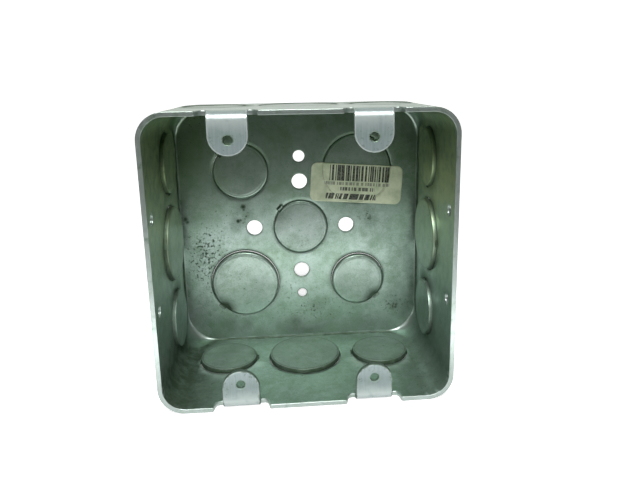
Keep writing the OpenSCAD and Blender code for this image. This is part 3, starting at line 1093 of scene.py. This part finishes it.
def paper_piece(name, on_disc):
    """One piece of the label: its face, its edge, and the thin strip torn at the cut."""
    outline = label_outline(0)
    torn_r = cut_r - cut_gap if on_disc else cut_r
    ring = arc_points((cut_x, cut_y), torn_r, 0, 2 * pi, cut_sides)[:-1]
    ring = [(x + label_wave * noise.noise(Vector((x, y, 1.7))),
             y + label_wave * noise.noise(Vector((y, x, 5)))) for x, y in ring]
    points = []
    edges = []
    for loop in (outline, label_outline(0.5), ring):
        start = len(points)
        points += loop
        edges += [(start + i, start + (i + 1) % len(loop)) for i in range(len(loop))]
    points += [(label_x + i * label_pitch, label_y + j * label_pitch)
               for i in range(-13, 14) for j in range(-6, 7)]
    spots, _, faces, *_ = delaunay_2d_cdt([Vector(p) for p in points], edges, [], 0, 1e-5)
    paper = bmesh.new()
    uv = paper.loops.layers.uv.new("print")
    torn = paper.verts.layers.float.new("grime")

    def height(p):
        """The paper sinks with the disc's rolled edge, and is lifted beside it."""
        from_cut = hypot(p[0] - cut_x, p[1] - cut_y) - torn_r
        wave = label_wave * noise.noise(Vector((p[0] / 4, p[1] / 4, 2.2)))
        if on_disc:
            sunk = 0.25 * max(0, 1 + from_cut / 0.8) ** 2
            return sheet + disc_face + 0.16 + label_thick + wave - sunk
        return sheet + label_thick + 0.06 + wave + 0.16 * max(0, 1 - from_cut / 1.8) ** 2

    top = []
    for spot in spots:
        v = paper.verts.new((spot.x, spot.y, height(spot)))
        from_cut = abs(hypot(spot.x - cut_x, spot.y - cut_y) - torn_r)
        v[torn] = max(0, 0.06 - from_cut / 2)
        top.append(v)
    for face in faces:
        middle = sum((spots[i] for i in face), Vector((0, 0))) / len(face)
        within = hypot(middle.x - cut_x, middle.y - cut_y) < torn_r * cos(pi / cut_sides)
        if inside(middle, outline) and within == on_disc:
            paper.faces.new([top[i] for i in face])
    for v in top:
        if not v.link_faces:
            paper.verts.remove(v)
    foot_of = {}
    for edge in [e for e in paper.edges if len(e.link_faces) == 1]:
        for v in edge.verts:
            if v not in foot_of:
                foot_of[v] = paper.verts.new(v.co - Vector((0, 0, label_thick + 0.1)))
                foot_of[v][torn] = v[torn]
        a, b = edge.verts
        paper.faces.new((a, b, foot_of[b], foot_of[a]))
    c, s = cos(-label_turn), sin(-label_turn)
    for face in paper.faces:
        face.smooth = True
        for loop in face.loops:
            x, y = loop.vert.co.x - label_x, loop.vert.co.y - label_y
            loop[uv].uv = ((x * c - y * s) / label_wide + 0.5, (x * s + y * c) / label_high + 0.5)
    for v in paper.verts:
        v.co = standing(*v.co)
    bmesh.ops.recalc_face_normals(paper, faces=paper.faces)
    made = bpy.data.meshes.new(name)
    paper.to_mesh(made)
    paper.free()
    made.materials.append(paper_skin)
    piece = bpy.data.objects.new(name, made)
    scene.collection.objects.link(piece)
    return piece


# Old greenish-white paper with grey-blue print, stained and rubbed.
paper_skin = bpy.data.materials.new("label_paper")
paper_skin.use_nodes = True
tree = paper_skin.node_tree
shader = tree.nodes["Principled BSDF"]
print_place = add_node(tree, "ShaderNodeUVMap", uv_map="print").outputs["UV"]
spot_node = add_node(tree, "ShaderNodeSeparateXYZ", {"Vector": print_place})
u, v = spot_node.outputs["X"], spot_node.outputs["Y"]


def bars(u, v, box, pitch, fill, seed, slant=0.0):
    """Bars of uneven width in box (u0, u1, v0, v1) of the label, leaning over by slant."""
    u0, u1, v0, v1 = box
    across = math_node(tree, "MULTIPLY_ADD", v, -slant, u)
    across = math_node(tree, "MULTIPLY_ADD", across, pitch, seed)
    wobble = add_node(tree, "ShaderNodeTexNoise", {"W": across, "Scale": 1.0, "Detail": 1.0},
                      noise_dimensions="1D").outputs["Fac"]
    mask = between(tree, wobble, fill, fill + 0.03)
    for value, low, high in ((u, u0, u1), (v, v0, v1)):
        mask = math_node(tree, "MULTIPLY", mask, math_node(tree, "GREATER_THAN", value, low))
        mask = math_node(tree, "MULTIPLY", mask, math_node(tree, "LESS_THAN", value, high))
    return mask


# Tall bars, and three rows of dashes, each with how dark it is and how it leans.
marks = bars(u, v, (0.2, 0.86, 0.56, 0.96), 53, 0.445, 3)
for box, pitch, fill, seed, dark, slant in (
        ((0.15, 0.86, 0.45, 0.53), 42, 0.47, 11, 0.6, 0),
        ((0.3, 0.7, 0.31, 0.4), 40, 0.45, 23, 0.9, 0),
        ((0.17, 0.72, 0.08, 0.23), 46, 0.44, 37, 1.0, 0.12)):
    row = bars(u, v, box, pitch, fill, seed, slant)
    marks = math_node(tree, "MAXIMUM", marks, math_node(tree, "MULTIPLY", row, dark))
place = in_millimetres(tree)
fibre = noise_of(tree, place, 1.6, 3, 0.6)
age = noise_of(tree, place, 0.16, 4, 0.6)
paper_colour = blend_colour(tree, between(tree, age, 0.35, 0.7), *paper_tones)
worn = between(tree, fibre, 0.4, 0.62)
ink = math_node(tree, "MULTIPLY", marks, math_node(tree, "MULTIPLY_ADD", worn, 0.15, 0.85))
paper_colour = blend_colour(tree, ink, paper_colour, ink_colour)
edge_dirt = add_node(tree, "ShaderNodeAttribute", attribute_name="grime").outputs["Fac"]
paper_colour = blend_colour(tree, math_node(tree, "MULTIPLY", edge_dirt, 0.7), paper_colour,
                            torn_dirt)
tree.links.new(paper_colour, shader.inputs["Base Color"])
tree.links.new(math_node(tree, "MULTIPLY_ADD", age, -0.2, 0.75), shader.inputs["Roughness"])
bump = add_node(tree, "ShaderNodeBump", {"Height": fibre, "Strength": 0.3, "Distance": 0.00008})
tree.links.new(bump.outputs["Normal"], shader.inputs["Normal"])

plate_paper = paper_piece("label_on_the_back", False)
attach(plate_paper, "box")
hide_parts("label_on_back")
disc_paper = paper_piece("label_on_the_disc", True)
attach(disc_paper, "disc_back_upper_right")
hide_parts("label_on_knockout")

# ---- the table and the light ----
# A plain pale table that ends a hand's width in front of the box, a pale backdrop behind it,
# a dim studio, one soft lamp above and in front, and a low strip in front of the open side.
def stage_sheet(name, size, place, turn, glow, glow_far):
    """A pale square of side 2 * size whose glow is seen, but lights nothing."""
    sheet_mesh = bpy.data.meshes.new(name)
    square = bmesh.new()
    bmesh.ops.create_grid(square, x_segments=8, y_segments=8, size=size)
    square.to_mesh(sheet_mesh)
    square.free()
    made = bpy.data.objects.new(name, sheet_mesh)
    made.location = place
    made.rotation_euler = (turn, 0, 0)
    scene.collection.objects.link(made)
    pale = bpy.data.materials.new(name)
    pale.use_nodes = True
    tree = pale.node_tree
    shader = tree.nodes["Principled BSDF"]
    shader.inputs["Base Color"].default_value = (0.86, 0.86, 0.86, 1)
    shader.inputs["Roughness"].default_value = 0.9
    shader.inputs["Emission Color"].default_value = (1, 1, 1, 1)
    at = add_node(tree, "ShaderNodeNewGeometry").outputs["Position"]
    away = add_node(tree, "ShaderNodeVectorMath", {0: at}, operation="LENGTH").outputs["Value"]
    far = between(tree, away, 0.12, 0.45)
    behind = add_node(tree, "ShaderNodeSeparateXYZ", {"Vector": at}).outputs["Y"]
    behind = between(tree, behind, 0.03, 0.1)
    rays = add_node(tree, "ShaderNodeLightPath")
    shown = math_node(tree, "MULTIPLY", rays.outputs["Is Glossy Ray"], behind)
    for kind in ("Is Camera Ray", "Is Transmission Ray"):
        shown = math_node(tree, "MAXIMUM", shown, rays.outputs[kind])
    strength = math_node(tree, "MULTIPLY_ADD", far, glow_far - glow, glow)
    tree.links.new(math_node(tree, "MULTIPLY", shown, strength), shader.inputs["Emission Strength"])
    sheet_mesh.materials.append(pale)


table_half = 3
table_front = -0.22
stage_sheet("table_top", table_half, (0, table_half + table_front, -0.0003), 0, 0.8, 1.0)
stage_sheet("backdrop", 2, (0, 1.2, 1.9), pi / 2, 1.0, 1.0)

world = bpy.data.worlds.new("studio")
scene.world = world
world.use_nodes = True
tree = world.node_tree
rays = add_node(tree, "ShaderNodeLightPath")
seen = math_node(tree, "MAXIMUM", rays.outputs["Is Camera Ray"], rays.outputs["Is Transmission Ray"])
tree.nodes["Background"].inputs["Color"].default_value = (1, 1, 1, 1)
strength = math_node(tree, "MULTIPLY_ADD", seen, 0.94, 0.06)
tree.links.new(strength, tree.nodes["Background"].inputs["Strength"])


def area_light(name, wide, high, watts, place, aim):
    data = bpy.data.lights.new(name, "AREA")
    data.shape = "RECTANGLE"
    data.size = wide
    data.size_y = high
    data.energy = watts
    light = bpy.data.objects.new(name, data)
    light.location = place
    light.rotation_euler = (Vector(aim) - light.location).to_track_quat("-Z", "Y").to_euler()
    scene.collection.objects.link(light)
    return light


area_light("soft_box", 0.3, 0.2, 3.75, (-0.03, -0.34, 0.42), (0, -0.03, 0.03))
strip = area_light("strip_light", 0.3, 0.02, 0.061, (-0.012, -0.073, 0.0005), (-0.012, 0.027, 0.04))
strip.visible_camera = False

scene.view_settings.view_transform = "Standard"
